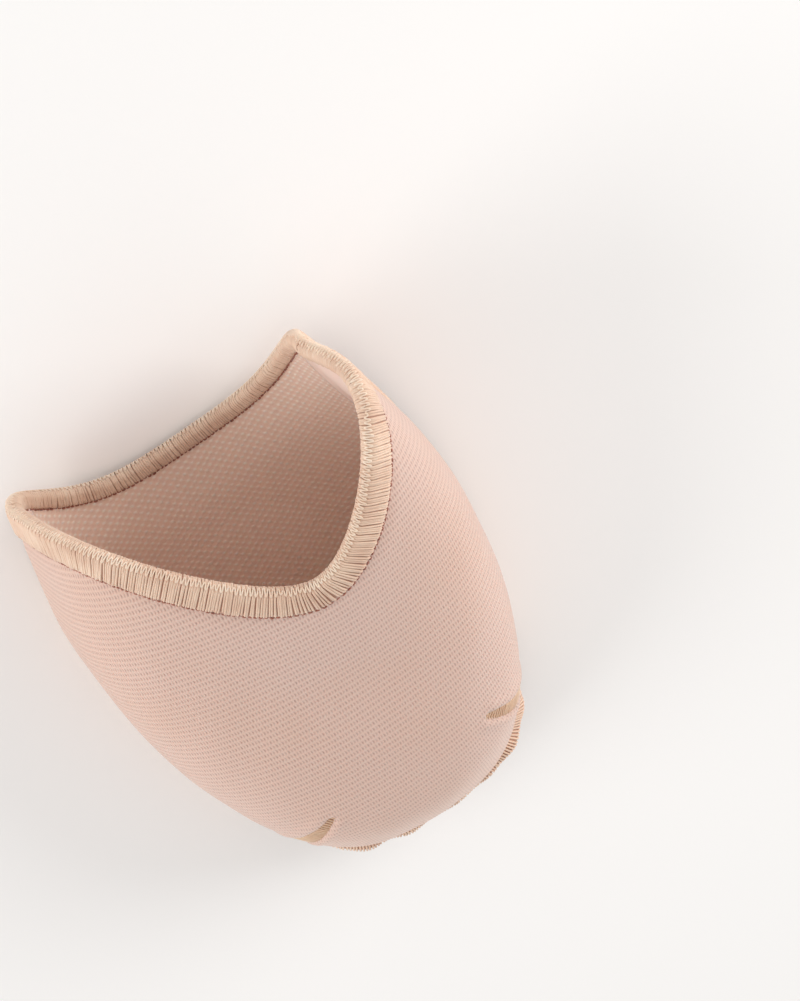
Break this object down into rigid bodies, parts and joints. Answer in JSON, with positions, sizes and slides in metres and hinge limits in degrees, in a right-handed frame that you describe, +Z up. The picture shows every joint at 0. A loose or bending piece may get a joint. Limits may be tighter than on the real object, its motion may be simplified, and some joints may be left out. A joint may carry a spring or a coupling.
{
  "type": "gel toe pad",
  "caption": "Padded knit pouch that slips over the toes, with an open mouth, an overlocked edge, darts at the toe and a stitched side seam.",
  "frame": {"origin": "middle of the bounding box, at the bottom, on the surface the pad rests on", "axes": "+Y from the mouth to the toe, +Z up through the top panel, +X across"},
  "size_m": [0.0818, 0.1208, 0.0555],
  "materials": {
    "knit": "fine matte knit backed with soft gel",
    "lining": "matte knit with raised dots",
    "thread": "overlocked thread"
  },
  "bodies": {
    "root": {"top_panel": "knit", "sole_panel": "knit", "top_lining": "lining", "sole_lining": "lining", "mouth_binding": "thread", "side_seam": "thread", "toe_dart_left": "thread", "toe_dart_right": "thread"}
  },
  "joints": []
}
